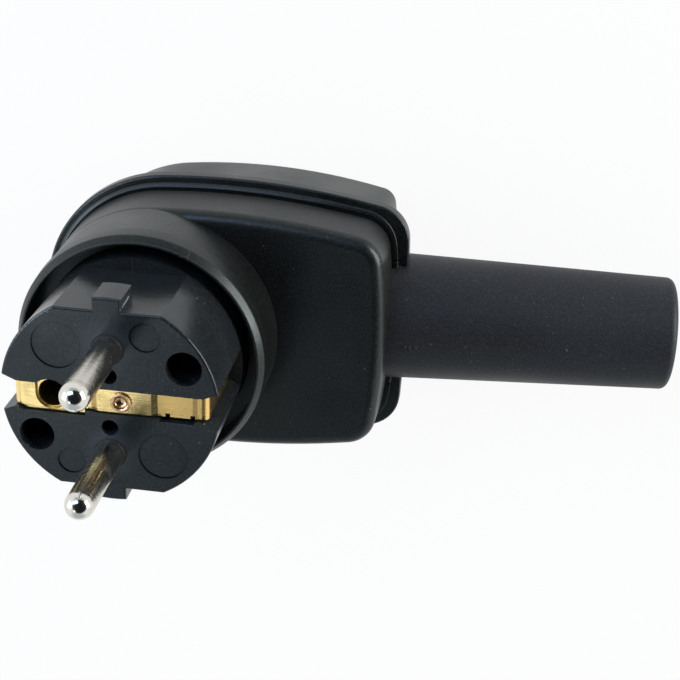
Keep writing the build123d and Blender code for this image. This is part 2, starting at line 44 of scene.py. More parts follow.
# Floor: its width, its tone and how strongly the plug's shadow shows on it
FLOOR_SIZE = 16.0
FLOOR_TONE = (0.96, 0.96, 0.96)
FLOOR_SHADOW_SHARE = 0.08

# Room: the end walls go over to the side walls as a direction turns sideways, and the dark side
# over the plug lies round one direction, out to the cosines of two angles from it
ROOM_SIDE_WALLS = (0.98, 1.03, 1.04)
ROOM_END_WALLS = (0.50, 0.56, 0.60)
SIDE_WALLS_START = 0.25
SIDE_WALLS_FULL = 0.75
ROOM_DARK_SIDE = (0.012, 0.013, 0.016)
DARK_SIDE_CENTRE = (0.296, 0.293, 0.909)
DARK_SIDE_EDGE_COSINE = 0.51
DARK_SIDE_CORE_COSINE = 0.67

# Each lamp: its name, place, width, height, brightness and tint. All of them face one place.
LAMPS = (
    ("left_window", (-0.80, 0.10, 0.40), 0.6, 0.5, 5.0, (0.70, 0.84, 1.0)),
    ("right_window", (0.90, 0.26, 0.13), 0.75, 0.30, 13.0, (0.99, 1.0, 0.95)),
    ("sky_panel", (-0.32, -0.34, 0.86), 0.22, 0.20, 2.0, (0.90, 0.95, 1.0)),
    ("back_sky", (-0.32, 0.70, 0.66), 0.65, 0.40, 3.8, (0.55, 0.71, 1.0)),
)
LAMPS_FACE = (0.03, 0.0, -0.03)

# Pins: their places, where the ball end and its polish begin, and the painted shade at their foot
PIN_PLACES = ((0.0, 9.5 * MM), (0.0, -9.5 * MM))
PIN_BALL_START = 16.6 * MM
PIN_BALL_POLISHED = PIN_BALL_START + 0.6 * MM
PIN_FOOT_SHADE_FULL = 0.03 * MM
PIN_FOOT_SHADE_END = 0.12 * MM

# Contact face: each round recess as its place and its radius, the dark line of painted shade round it,
# and the pale bluish painted sheen round each pin as the distances from the pin's middle between which it
# fades
FACE_RECESSES = (
    (-8.67 * MM, 9.43 * MM, 4.1 * MM),
    (8.88 * MM, -9.19 * MM, 4.1 * MM),
    (6.21 * MM, 12.17 * MM, 2.5 * MM),
    (-6.83 * MM, -11.77 * MM, 2.3 * MM),
)
RECESS_SHADE_CORE = 0.06 * MM
RECESS_SHADE_EDGE = 0.22 * MM
PIN_SHEEN_CORE = 2.4 * MM
PIN_SHEEN_EDGE = 5.6 * MM

# Earth strip along X: its bright middle, how far from it the brass is aged, where it turns warmer,
# and each brown stain as its place, half its width and its strength
STRIP_MIDDLE = 2.4 * MM
STRIP_BRIGHT_REACH = 4.0 * MM
STRIP_AGED_REACH = 13.0 * MM
STRIP_WARM_START = 6.9 * MM
STRIP_WARM_FULL = 8.5 * MM
STAIN_CORE_SHARE = 0.4
BRASS_STAINS = (
    (-2.75 * MM, 0.7 * MM, 0.75),
    (6.9 * MM, 0.4 * MM, 0.2),
    (14.2 * MM, 0.55 * MM, 0.6),
)

# Threads: their pitch and ridge, the shanks that carry them, and where they start and stop. The
# housing screws point down, and the clamp and terminal screws point up.
THREAD_PITCH = 0.7 * MM
THREAD_RIDGE = 0.12 * THREAD_PITCH
LONG_SHANK_RADIUS = 1.75 * MM
TERMINAL_SHANK_RADIUS = 1.85 * MM
HOUSING_SCREW_TIP = 0.4 * MM
HOUSING_THREAD_END = 9.0 * MM
REAR_SCREW_TIP = 0.3 * MM
CLAMP_SCREW_HEAD_AND_NECK = 5.0 * MM
TERMINAL_SCREW_HEAD_AND_NECK = 2.6 * MM

# Mould marks: their half thickness, the line across the carrier's shoulder, and the mark across the
# collar's bevel by its angle round the axis and its ends as (radius, height)
MOULD_MARK_RADIUS = 0.09 * MM
SHOULDER_Z = -17.5 * MM
SHOULDER_LINE_X = -0.7 * MM
SHOULDER_FROM_Y = 16.25 * MM
SHOULDER_TO_Y = 18.45 * MM
RIM_MARK_ANGLE = math.radians(65.6)
RIM_MARK_ENDS = ((21.2 * MM, -17.42 * MM), (22.15 * MM, -18.68 * MM))

# Pale line along the guide rib's foot and studs on the boot, placed by pixels of the photograph
RIB_LINE_PIXELS = ((119.5, 310.0), (123.0, 305.5), (126.5, 300.5), (128.5, 296.5))
RIB_LINE_RADIUS = 0.10 * MM
BOOT_STUD_PIXELS = ((404.6, 347.3), (409.2, 347.8), (415.0, 348.3))
STUD_RADIUS = 0.34 * MM
STUD_HEIGHT = 0.22 * MM
STUD_SUNK = 0.25 * MM

# Collar's rim: its corners as (radius, height) in mm, from the bore over the bevel to the outer wall
COLLAR_RIM_CORNERS = (
    (20.93, -19.5),
    (20.93, -17.36),
    (21.15, -17.34),
    (22.22, -18.75),
    (22.45, -21.9),
    (22.1, -22.2),
)
COLLAR_RIM_EASED = 0.22

# Pocket beside the earth strip: its run along X, its lower side, and the sill's side that narrows it
POCKET_FROM_X = 8.400 * MM
POCKET_TO_X = 14.200 * MM
POCKET_LOW_Y = -3.400 * MM
POCKET_SILL_Y = POCKET_LOW_Y + 0.7 * MM

# Rivet's dished end: the cup's radius, how far its lip lies under the rim, and its depths
RIVET_CUP_RADIUS = 1.17 * MM
RIVET_LIP_DROP = 0.2 * MM
RIVET_DISH_DEPTH = 0.75 * MM
RIVET_CUP_BOTTOM = 1.6 * MM

# Cover's first step: its top, where its side wall is found, and the run of angles that has a slope
STEP_TOP_Z = -42.000 * MM
STEP_SIDE_Z = STEP_TOP_Z - 0.6 * MM
STEP_CENTRE_X = 20.0 * MM
STEP_FROM_ANGLE = math.radians(29.2)
STEP_RISE_RUN = math.radians(50.0)
STEP_STATIONS = 260
# Section of the step's slope, as (distance out from the side wall, height over the step's top) in mm
STEP_SLOPE_SECTION = ((0.02, -0.50), (0.02, -0.12), (-0.14, 0.06), (-0.72, 0.46), (-0.72, -0.30))
STEP_SLOPE_EASED = 0.14


class Value:
    """A socket of a shader tree, on which arithmetic adds Math nodes."""

    def __init__(self, owner, socket):
        self.owner = owner
        self.socket = socket

    def math(self, operation, *values):
        return self.owner.node("ShaderNodeMath", {"operation": operation}, dict(enumerate(values)))

    def __add__(self, other):
        return self.math("ADD", self, other)

    def __radd__(self, other):
        return self.math("ADD", other, self)

    def __sub__(self, other):
        return self.math("SUBTRACT", self, other)

    def __rsub__(self, other):
        return self.math("SUBTRACT", other, self)

    def __mul__(self, other):
        return self.math("MULTIPLY", self, other)

    def __rmul__(self, other):
        return self.math("MULTIPLY", other, self)

    def __abs__(self):
        return self.math("ABSOLUTE", self)


class Shading:
    """A shader tree, with one method that adds any node and short names for the usual ones."""

    def __init__(self, tree):
        self.tree = tree

    def node(self, kind, settings=None, inputs=None, output=0):
        """Adds a node: its settings first, then the values or links of its sockets."""
        made = self.tree.nodes.new(kind)
        for key, value in (settings or {}).items():
            setattr(made, key, value)
        for key, value in (inputs or {}).items():
            if isinstance(value, Value):
                self.tree.links.new(value.socket, made.inputs[key])
            else:
                made.inputs[key].default_value = value
        return Value(self, made.outputs[output])

    def feed(self, node_name, socket, value):
        """Links a value to a socket of a node that the tree came with."""
        self.tree.links.new(value.socket, self.tree.nodes[node_name].inputs[socket])

    def step(self, value, start, end, at_start=0.0, at_end=1.0):
        """Goes smoothly from one number to another while the value goes from start to end."""
        settings = {"interpolation_type": "SMOOTHSTEP"}
        inputs = {0: value, 1: start, 2: end, 3: at_start, 4: at_end}
        return self.node("ShaderNodeMapRange", settings, inputs)

    def mixed(self, share, first, second):
        """The first colour, going over to the second as the share rises."""
        inputs = {0: share, 6: first, 7: second}
        return self.node("ShaderNodeMix", {"data_type": "RGBA"}, inputs, output=2)


class Finish(Shading):
    """One material of the plug and the nodes that it is made of."""

    def __init__(self, name, **constants):
        self.material = bpy.data.materials.new(name)
        self.material.use_nodes = True
        super().__init__(self.material.node_tree)
        shader = self.tree.nodes["Principled BSDF"]
        for socket, value in constants.items():
            shader.inputs[socket.replace("_", " ")].default_value = value
        self.place = self.node("ShaderNodeTexCoord", output="Object")

    def drive(self, socket, value):
        self.feed("Principled BSDF", socket, value)

    def stretched(self, scale):
        """The place on the piece, scaled differently along each axis."""
        return self.node("ShaderNodeMapping", None, {"Vector": self.place, "Scale": scale})

    def noise(self, scale, detail, place=None):
        inputs = {"Vector": place or self.place, "Scale": scale, "Detail": detail}
        return self.node("ShaderNodeTexNoise", None, inputs)

    def axis(self, letter):
        return self.node("ShaderNodeSeparateXYZ", None, {0: self.place}, output=letter)

    def distance_from(self, x, y):
        """Distance from an upright line through (x, y), both in metres."""
        ends = {0: self.stretched((1.0, 1.0, 0.0)), 1: (x, y, 0.0)}
        return self.node("ShaderNodeVectorMath", {"operation": "DISTANCE"}, ends, output="Value")

    def bump(self, height, depth, before=None):
        """Surface relief of a depth in metres, on top of an earlier relief."""
        inputs = {"Height": height, "Strength": 1.0, "Distance": depth}
        if before:
            inputs["Normal"] = before
        return self.node("ShaderNodeBump", None, inputs, output="Normal")


def rgb(red, green, blue):
    return (red, green, blue, 1.0)


def housing_rubber():
    """Satin black rubber of the body and its cover, with a slightly cloudy skin and a few specks."""
    rubber = Finish("housing_rubber", Specular_IOR_Level=0.42, Specular_Tint=rgb(0.88, 0.98, 1.0))
    deep_black = rgb(0.0024, 0.0028, 0.0027)
    soft_black = rgb(0.0052, 0.0060, 0.0062)
    grain_black = rgb(0.0120, 0.0130, 0.0128)
    dust_grey = rgb(0.085, 0.088, 0.085)
    clouds = rubber.noise(60.0, 3.0)
    skin = rubber.noise(2600.0, 2.0)
    ripple = rubber.noise(240.0, 2.0)
    speck = rubber.step(rubber.noise(1100.0, 1.0), 0.76, 0.80)
    grain_share = rubber.step(skin, 0.42, 0.66)
    black = rubber.mixed(grain_share, rubber.mixed(clouds, deep_black, soft_black), grain_black)
    rubber.drive("Base Color", rubber.mixed(speck * 0.6, black, dust_grey))
    cloud_gloss = rubber.step(clouds, 0.3, 0.7, at_start=0.30, at_end=0.42)
    rubber.drive("Roughness", cloud_gloss + speck * 0.2)
    grain = rubber.bump(skin, 0.018 * MM)
    rubber.drive("Normal", rubber.bump(ripple, 0.04 * MM, grain))
    return rubber.material


def boot_rubber():
    """Matter black rubber of the boot, finely speckled with dust."""
    rubber = Finish("boot_rubber", Specular_IOR_Level=0.32, Specular_Tint=rgb(0.88, 0.96, 1.0))
    warm_black = rgb(0.0105, 0.0098, 0.0108)
    blue_black = rgb(0.0160, 0.0160, 0.0200)
    grain_black = rgb(0.0250, 0.0258, 0.0290)
    dust_grey = rgb(0.10, 0.10, 0.11)
    clouds = rubber.noise(45.0, 4.0)
    skin = rubber.noise(1700.0, 3.0)
    ripple = rubber.noise(180.0, 3.0)
    speck = rubber.step(rubber.noise(1500.0, 1.0), 0.72, 0.79)
    grain_share = rubber.step(rubber.noise(3000.0, 2.0), 0.42, 0.70)
    black = rubber.mixed(grain_share, rubber.mixed(clouds, warm_black, blue_black), grain_black)
    rubber.drive("Base Color", rubber.mixed(speck * 0.7, black, dust_grey))
    cloud_gloss = rubber.step(clouds, 0.3, 0.7, at_start=0.48, at_end=0.60)
    rubber.drive("Roughness", cloud_gloss + speck * 0.2)
    grain = rubber.bump(skin, 0.045 * MM)
    rubber.drive("Normal", rubber.bump(ripple, 0.05 * MM, grain))
    return rubber.material


def carrier_plastic():
    """Hard black plastic of the contact carrier: smoother and bluer, with painted sheen round the pins and
    painted shade lines round the recesses.
    """
    plastic = Finish("carrier_plastic", Specular_IOR_Level=0.38, Specular_Tint=rgb(0.88, 0.96, 1.0))
    deep_black = rgb(0.0080, 0.0098, 0.0110)
    blue_black = rgb(0.0135, 0.0158, 0.0178)
    grain_black = rgb(0.0210, 0.0238, 0.0262)
    painted_sheen_blue = rgb(0.050, 0.058, 0.072)
    painted_recess_shade_black = rgb(0.0020, 0.0022, 0.0024)
    dust_grey = rgb(0.14, 0.145, 0.15)
    clouds = plastic.noise(90.0, 3.0)
    skin = plastic.noise(900.0, 2.0)
    speck = plastic.step(plastic.noise(1300.0, 1.0), 0.75, 0.80)
    grain_share = plastic.step(plastic.noise(2400.0, 2.0), 0.42, 0.68)
    black = plastic.mixed(grain_share, plastic.mixed(clouds, deep_black, blue_black), grain_black)
    # Painted sheen: a pale bluish patch on the face round each pin's foot, fading outwards
    for x, y in PIN_PLACES:
        painted_sheen = plastic.step(plastic.distance_from(x, y), PIN_SHEEN_CORE, PIN_SHEEN_EDGE, at_start=0.6, at_end=0.0)
        black = plastic.mixed(painted_sheen * plastic.step(clouds, 0.2, 0.7), black, painted_sheen_blue)
    # Painted shade: a dark line round the edge of each recess, where the recessed edge would cast shade
    for x, y, radius in FACE_RECESSES:
        off_line = abs(plastic.distance_from(x, y) - radius)
        line = plastic.step(off_line, RECESS_SHADE_CORE, RECESS_SHADE_EDGE, at_start=0.85, at_end=0.0)
        black = plastic.mixed(line, black, painted_recess_shade_black)
    plastic.drive("Base Color", plastic.mixed(speck * 0.7, black, dust_grey))
    plastic.drive("Roughness", plastic.step(clouds, 0.3, 0.7, at_start=0.20, at_end=0.30))
    plastic.drive("Normal", plastic.bump(skin, 0.02 * MM))
    return plastic.material


def rib_line_plastic():
    """The carrier's plastic, pale, for the thin line along the guide rib's foot."""
    plastic = Finish("rib_line_plastic", Specular_IOR_Level=0.5)
    grain = plastic.noise(2500.0, 2.0)
    plastic.drive("Base Color", plastic.mixed(grain, rgb(0.34, 0.35, 0.35), rgb(0.12, 0.125, 0.13)))
    plastic.drive("Roughness", plastic.step(grain, 0.3, 0.7, at_start=0.4, at_end=0.6))
    return plastic.material


def pin_nickel():
    """Nickel-plated pin: turning marks round the shaft, a brighter ball end, and painted shade at its foot.
    """
    nickel = Finish("pin_nickel", Metallic=1.0)
    bright_nickel = rgb(0.74, 0.72, 0.66)
    turned_nickel = rgb(0.50, 0.48, 0.42)
    worn_nickel = rgb(0.36, 0.33, 0.27)
    pin_foot_shade_black = rgb(0.010, 0.011, 0.013)
    turning = nickel.noise(1.0, 2.0, nickel.stretched((60.0, 60.0, 5200.0)))
    blotch = nickel.noise(420.0, 2.0)
    shaft = nickel.step(nickel.axis("Z"), PIN_BALL_START, PIN_BALL_POLISHED, at_start=1.0, at_end=0.12)
    # Painted shade: the pin is black and unmetallic just above the face, where it meets the carrier
    foot_shade = nickel.step(nickel.axis("Z"), PIN_FOOT_SHADE_FULL, PIN_FOOT_SHADE_END, at_start=1.0, at_end=0.0)
    tone = nickel.mixed(turning * shaft, bright_nickel, turned_nickel)
    tone = nickel.mixed(nickel.step(blotch, 0.55, 0.75) * 0.35, tone, worn_nickel)
    nickel.drive("Base Color", nickel.mixed(foot_shade, tone, pin_foot_shade_black))
    nickel.drive("Metallic", 1.0 - foot_shade)
    nickel.drive("Roughness", 0.12 + shaft * 0.12 + nickel.step(blotch, 0.5, 0.8) * 0.08 + foot_shade * 0.3)
    nickel.drive("Normal", nickel.bump(turning * shaft, 0.03 * MM))
    return nickel.material


def earth_brass():
    """Bright rolled brass: browner in blotches and towards the ends, warmer at the right, stained."""
    brass = Finish("earth_brass", Metallic=1.0)
    pale_gold = rgb(1.0, 0.78, 0.35)
    deep_gold = rgb(0.95, 0.67, 0.27)
    blotch_brown = rgb(0.74, 0.48, 0.19)
    aged_brown = rgb(0.70, 0.53, 0.25)
    warm_gold = rgb(0.88, 0.55, 0.17)
    stain_brown = rgb(0.30, 0.17, 0.07)
    rolling = brass.noise(1.0, 2.0, brass.stretched((160.0, 3600.0, 3600.0)))
    blotch = brass.noise(330.0, 3.0)
    outside = brass.step(abs(brass.axis("X") - STRIP_MIDDLE), STRIP_BRIGHT_REACH, STRIP_AGED_REACH)
    warmer = brass.step(brass.axis("X"), STRIP_WARM_START, STRIP_WARM_FULL, at_start=0.0, at_end=0.6)
    tone = brass.mixed(rolling, pale_gold, deep_gold)
    tone = brass.mixed(brass.step(blotch, 0.5, 0.85) * 0.6, tone, blotch_brown)
    tone = brass.mixed(outside * 0.15, tone, aged_brown)
    tone = brass.mixed(warmer, tone, warm_gold)
    for place, half_width, strength in BRASS_STAINS:
        off_stain = abs(brass.axis("X") - place)
        core = STAIN_CORE_SHARE * half_width
        stain = brass.step(off_stain, core, half_width, at_start=strength, at_end=0.0)
        tone = brass.mixed(stain, tone, stain_brown)
    brass.drive("Base Color", tone)
    brass.drive("Roughness", brass.step(blotch, 0.3, 0.8, at_start=0.2, at_end=0.30))
    brass.drive("Normal", brass.bump(rolling, 0.02 * MM))
    return brass.material


def rivet_copper():
    """Copper-tinted metal of the rivet, in lighter and darker blotches."""
    copper = Finish("rivet_copper", Metallic=1.0)
    blotch = copper.noise(900.0, 2.0)
    copper.drive("Base Color", copper.mixed(blotch, rgb(0.82, 0.56, 0.31), rgb(0.56, 0.34, 0.18)))
    copper.drive("Roughness", copper.step(blotch, 0.3, 0.7, at_start=0.2, at_end=0.34))
    copper.drive("Normal", copper.bump(blotch, 0.03 * MM))
    return copper.material


def screw_steel():
    """Zinc-plated steel of the screws and the clamp bar."""
    steel = Finish("screw_steel", Metallic=1.0)
    crystal = steel.noise(1500.0, 2.0)
    clouds = steel.noise(200.0, 2.0)
    steel.drive("Base Color", steel.mixed(clouds, rgb(0.62, 0.62, 0.60), rgb(0.46, 0.46, 0.45)))
    steel.drive("Roughness", steel.step(crystal, 0.3, 0.7, at_start=0.26, at_end=0.4))
    steel.drive("Normal", steel.bump(crystal, 0.01 * MM))
    return steel.material


def dress_nodes(frame, finishes):
    """Gives each CAD node the finish of its material slot."""
    for part in frame["record"]["subparts"]:
        mesh = frame["nodes"][part["node"]].data
        mesh.materials.clear()
        mesh.materials.append(finishes[part["material_slot"]])


def as_plain_mesh(name, maker, finish):
    """Turns a curve or a modified object into a plain mesh that rides on the plug."""
    bpy.context.view_layer.update()
    seen = maker.evaluated_get(bpy.context.evaluated_depsgraph_get())
    mesh = bpy.data.meshes.new_from_object(seen)
    mesh.transform(maker.matrix_world)
    bpy.data.objects.remove(maker)
    piece = bpy.data.objects.new(name, mesh)
    bpy.context.scene.collection.objects.link(piece)
    mesh.materials.clear()
    mesh.materials.append(finish)
    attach(piece, "root")


def add_mesh_piece(name, points, faces, finish):
    """A smooth closed piece from points and faces, which rides on the plug."""
    mesh = bpy.data.meshes.new(name)
    mesh.from_pydata(points, [], faces)
    mesh.polygons.foreach_set("use_smooth", [True] * len(faces))
    mesh.materials.append(finish)
    piece = bpy.data.objects.new(name, mesh)
    bpy.context.scene.collection.objects.link(piece)
    merge_and_turn_outwards(mesh)
    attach(piece, "root")
    return piece


def merge_and_turn_outwards(mesh):
    """Merges doubled points, such as those on a turned piece's axis, and turns the faces outwards."""
    work = bmesh.new()
    work.from_mesh(mesh)
    bmesh.ops.remove_doubles(work, verts=work.verts, dist=0.0005 * MM)
    bmesh.ops.recalc_face_normals(work, faces=work.faces)
    work.to_mesh(mesh)
    work.free()


def bead_along(name, points, radius, finish):
    """A thin round bead that follows points."""
    line = bpy.data.curves.new(name + "_line", "CURVE")
    line.dimensions = "3D"
    line.bevel_depth = radius
    line.bevel_resolution = 3
    line.use_fill_caps = True
    spline = line.splines.new("POLY")
    spline.points.add(len(points) - 1)
    for knot, point in zip(spline.points, points):
        knot.co = (*point, 1.0)
    maker = bpy.data.objects.new(name + "_maker", line)
    bpy.context.scene.collection.objects.link(maker)
    as_plain_mesh(name, maker, finish)


def rounded(corners, radius, steps=5):
    """A closed outline with each corner replaced by a short curve."""
    outline = []
    for i, corner in enumerate(corners):
        here = Vector(corner)
        before = Vector(corners[i - 1]) - here
        after = Vector(corners[(i + 1) % len(corners)]) - here
        reach = min(radius, before.length / 2, after.length / 2)
        start = here + before.normalized() * reach
        end = here + after.normalized() * reach
        for k in range(steps + 1):
            t = k / steps
            outline.append(tuple((1 - t) ** 2 * start + 2 * t * (1 - t) * here + t ** 2 * end))
    return outline


def lathe(name, profile, finish, steps=144, centre=(0.0, 0.0)):
    """A piece turned about an upright axis from a closed outline of (radius, height) points."""
    points = []
    faces = []
    count = len(profile)
    for turn in range(steps):
        angle = 2 * math.pi * turn / steps
        for radius, height in profile:
            x = centre[0] + radius * math.cos(angle)
            y = centre[1] + radius * math.sin(angle)
            points.append((x, y, height))
    for turn in range(steps):
        here = turn * count
        there = (turn + 1) % steps * count
        for i in range(count):
            j = (i + 1) % count
            faces.append((here + i, there + i, there + j, here + j))
    add_mesh_piece(name, points, faces, finish)


def thread_tree():
    """Geometry nodes that stack equal rings along an axis, as the turns of a thread."""
    tree = bpy.data.node_groups.new("thread_turns", "GeometryNodeTree")
    face = tree.interface
    face.new_socket("Geometry", in_out="OUTPUT", socket_type="NodeSocketGeometry")
    face.new_socket("Turns", in_out="INPUT", socket_type="NodeSocketInt")
    for size in ("Pitch", "Radius", "Ridge"):
        face.new_socket(size, in_out="INPUT", socket_type="NodeSocketFloat")
    face.new_socket("Material", in_out="INPUT", socket_type="NodeSocketMaterial")
    given = tree.nodes.new("NodeGroupInput")
    result = tree.nodes.new("NodeGroupOutput")
    offset = tree.nodes.new("ShaderNodeCombineXYZ")
    places = tree.nodes.new("GeometryNodeMeshLine")
    circle = tree.nodes.new("GeometryNodeCurvePrimitiveCircle")
    profile = tree.nodes.new("GeometryNodeCurvePrimitiveCircle")
    turn = tree.nodes.new("GeometryNodeCurveToMesh")
    copies = tree.nodes.new("GeometryNodeInstanceOnPoints")
    real = tree.nodes.new("GeometryNodeRealizeInstances")
    paint = tree.nodes.new("GeometryNodeSetMaterial")
    circle.inputs["Resolution"].default_value = 40
    profile.inputs["Resolution"].default_value = 6
    join = tree.links.new
    join(given.outputs["Pitch"], offset.inputs["Z"])
    join(given.outputs["Turns"], places.inputs["Count"])
    join(offset.outputs[0], places.inputs["Offset"])
    join(given.outputs["Radius"], circle.inputs["Radius"])
    join(given.outputs["Ridge"], profile.inputs["Radius"])
    join(circle.outputs["Curve"], turn.inputs["Curve"])
    join(profile.outputs["Curve"], turn.inputs["Profile Curve"])
    join(places.outputs["Mesh"], copies.inputs["Points"])
    join(turn.outputs["Mesh"], copies.inputs["Instance"])
    join(copies.outputs["Instances"], real.inputs["Geometry"])
    join(real.outputs["Geometry"], paint.inputs["Geometry"])
    join(given.outputs["Material"], paint.inputs["Material"])
    join(paint.outputs["Geometry"], result.inputs["Geometry"])
    return tree


def thread(tree, node, shank_radius, bottom, top, steel):
    """Thread turns on a screw's shank, between two heights."""
    low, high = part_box(node)
    maker = bpy.data.objects.new(node + "_thread_maker", bpy.data.meshes.new("thread_seed"))
    bpy.context.scene.collection.objects.link(maker)
    maker.location = ((low.x + high.x) / 2, (low.y + high.y) / 2, bottom)
    modifier = maker.modifiers.new("thread", "NODES")
    modifier.node_group = tree
    sizes = {
        "Turns": int((top - bottom) / THREAD_PITCH),
        "Pitch": THREAD_PITCH,
        "Radius": shank_radius,
        "Ridge": THREAD_RIDGE,
        "Material": steel,
    }
    for socket in tree.interface.items_tree:
        if socket.in_out == "INPUT":
            modifier[socket.identifier] = sizes[socket.name]
    as_plain_mesh(node + "_thread", maker, steel)


def screw_threads(finishes):
    """Threads on the long housing screws, the clamp screws and the terminal screws."""
    tree = thread_tree()
    steel = finishes["screw_steel"]
    for node in ("housing_screw_right", "housing_screw_left"):
        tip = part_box(node)[0].z
        thread(tree, node, LONG_SHANK_RADIUS, tip + HOUSING_SCREW_TIP, tip + HOUSING_THREAD_END, steel)
    for node in ("clamp_screw_upper", "clamp_screw_lower"):
        low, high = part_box(node)
        bottom = low.z + CLAMP_SCREW_HEAD_AND_NECK
        thread(tree, node, LONG_SHANK_RADIUS, bottom, high.z - REAR_SCREW_TIP, steel)
    for node in ("terminal_screw_upper", "terminal_screw_lower", "terminal_screw_earth"):
        low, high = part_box(node)
        bottom = low.z + TERMINAL_SCREW_HEAD_AND_NECK
        thread(tree, node, TERMINAL_SHANK_RADIUS, bottom, high.z - REAR_SCREW_TIP, steel)


def shoulder_mould_line(finishes):
    """The fine mould line across the carrier's shoulder, above the flat."""
    steps = 8
    points = []
    for i in range(steps + 1):
        y = SHOULDER_FROM_Y + (SHOULDER_TO_Y - SHOULDER_FROM_Y) * i / steps
        points.append(Vector((SHOULDER_LINE_X, y, SHOULDER_Z)))
    plastic = finishes["carrier_plastic"]
    bead_along("shoulder_mould_line", points, MOULD_MARK_RADIUS, plastic)


def collar_rim(finishes):
    """The collar's rim, bevelled at about 45 degrees from its bore to its outer wall."""
    eased = rounded(COLLAR_RIM_CORNERS, COLLAR_RIM_EASED)
    outline = [(radius * MM, height * MM) for radius, height in eased]
    lathe("collar_rim", outline, finishes["housing_rubber"])


def surface_of(frame, node):
    """A CAD node's surface, on which the place that a ray meets can be found."""
    mesh = frame["nodes"][node].data
    return BVHTree.FromPolygons([v.co for v in mesh.vertices], [p.vertices for p in mesh.polygons])


def step_slope(frame, finishes):
    """The outward slope on the cover's first step, which runs out flat on both sides of the boot."""
    cover = surface_of(frame, "rear_cover")
    beyond_cover = 0.2
    centre = Vector((STEP_CENTRE_X, 0.0, STEP_SIDE_Z))
    sweep = 2 * math.pi - 2 * STEP_FROM_ANGLE
    wall = []
    for k in range(STEP_STATIONS):
        angle = STEP_FROM_ANGLE + sweep * k / (STEP_STATIONS - 1)
        outward = Vector((math.cos(angle), math.sin(angle), 0.0))
        wall.append(cover.ray_cast(centre + beyond_cover * outward, -outward)[0])
    section = rounded(STEP_SLOPE_SECTION, STEP_SLOPE_EASED, 4)
    count = len(section)
    points = []
    for k, place in enumerate(wall):
        run = wall[min(k + 1, len(wall) - 1)] - wall[max(k - 1, 0)]
        outward = Vector((run.y, -run.x, 0.0)).normalized()
        from_end = sweep * min(k, STEP_STATIONS - 1 - k) / (STEP_STATIONS - 1)
        share = min(from_end / STEP_RISE_RUN, 1.0)
        for out, rise in section:
            point = place + out * MM * outward
            point.z = STEP_TOP_Z + (rise * share if rise > 0.0 else rise) * MM
            points.append(point)
    faces = [tuple(range(count)), tuple(range(len(points) - count, len(points)))]
    for k in range(len(wall) - 1):
        for i in range(count):
            j = (i + 1) % count
            faces.append((k * count + i, (k + 1) * count + i, (k + 1) * count + j, k * count + j))
    add_mesh_piece("step_slope", points, faces, finishes["housing_rubber"])


def pocket_sill(finishes):
    """The raised lower side of the pocket beside the earth strip, with its edges eased."""
    sunk = 0.1 * MM
    deep = -3.9 * MM
    top = -0.005 * MM
    eased = 0.08 * MM
    low = POCKET_LOW_Y - sunk
    high = POCKET_SILL_Y
    section = [(low, deep), (high, deep), (high, top - eased), (high - eased, top), (low, top)]
    count = len(section)
    points = [(x, y, z) for x in (POCKET_FROM_X - sunk, POCKET_TO_X + sunk) for y, z in section]
    faces = [tuple(range(count)), tuple(range(count, 2 * count))]
    for i in range(count):
        j = (i + 1) % count
        faces.append((i, j, count + j, count + i))
    sill = add_mesh_piece("pocket_sill", points, faces, finishes["carrier_plastic"])
    sill.data.polygons.foreach_set("use_smooth", [False] * len(sill.data.polygons))


def rivet_cup(finishes):
    """The dished end of the rivet, inside its rolled rim."""
    low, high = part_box("earth_rivet")
    centre = ((low.x + high.x) / 2, (low.y + high.y) / 2)
    lip = high.z - RIVET_LIP_DROP
    bottom = high.z - RIVET_CUP_BOTTOM
    steps = 8
    outline = []
    for k in range(steps + 1):
        angle = k / steps * math.pi / 2
        outline.append((RIVET_CUP_RADIUS * math.sin(angle), lip - RIVET_DISH_DEPTH * math.cos(angle)))
    outline.append((RIVET_CUP_RADIUS, bottom))
    outline.append((0.0, bottom))
    lathe("rivet_cup", outline, finishes["rivet_copper"], 48, centre)


def surface_at_pixel(frame, node):
    """A function that gives the point of a CAD node's surface, and its normal, at a photo pixel."""
    surface = surface_of(frame, node)
    focal = LENS_MM / SENSOR_MM * PHOTO_SIZE

    def at_pixel(x, y):
        across = (x - PHOTO_SIZE / 2) / focal
        down = (y - PHOTO_SIZE / 2) / focal
        ray = CAMERA_LOOK + across * CAMERA_RIGHT - down * CAMERA_UP
        place, normal, _, _ = surface.ray_cast(CAMERA_PLACE, ray.normalized())
        return place, normal

    return at_pixel


def rib_pale_line(frame):
    """A thin pale line along the corner of the carrier's guide rib."""
    at_pixel = surface_at_pixel(frame, "contact_carrier")
    points = [at_pixel(*pixel)[0] for pixel in RIB_LINE_PIXELS]
    bead_along("rib_pale_line", points, RIB_LINE_RADIUS, rib_line_plastic())


def boot_studs(frame, finishes):
    """Three small moulded studs on the boot near its root."""
    at_pixel = surface_at_pixel(frame, "cable_boot")
    for number, pixel in enumerate(BOOT_STUD_PIXELS, 1):
        place, normal = at_pixel(*pixel)
        stud("boot_stud_%d" % number, place, normal, finishes["boot_rubber"])


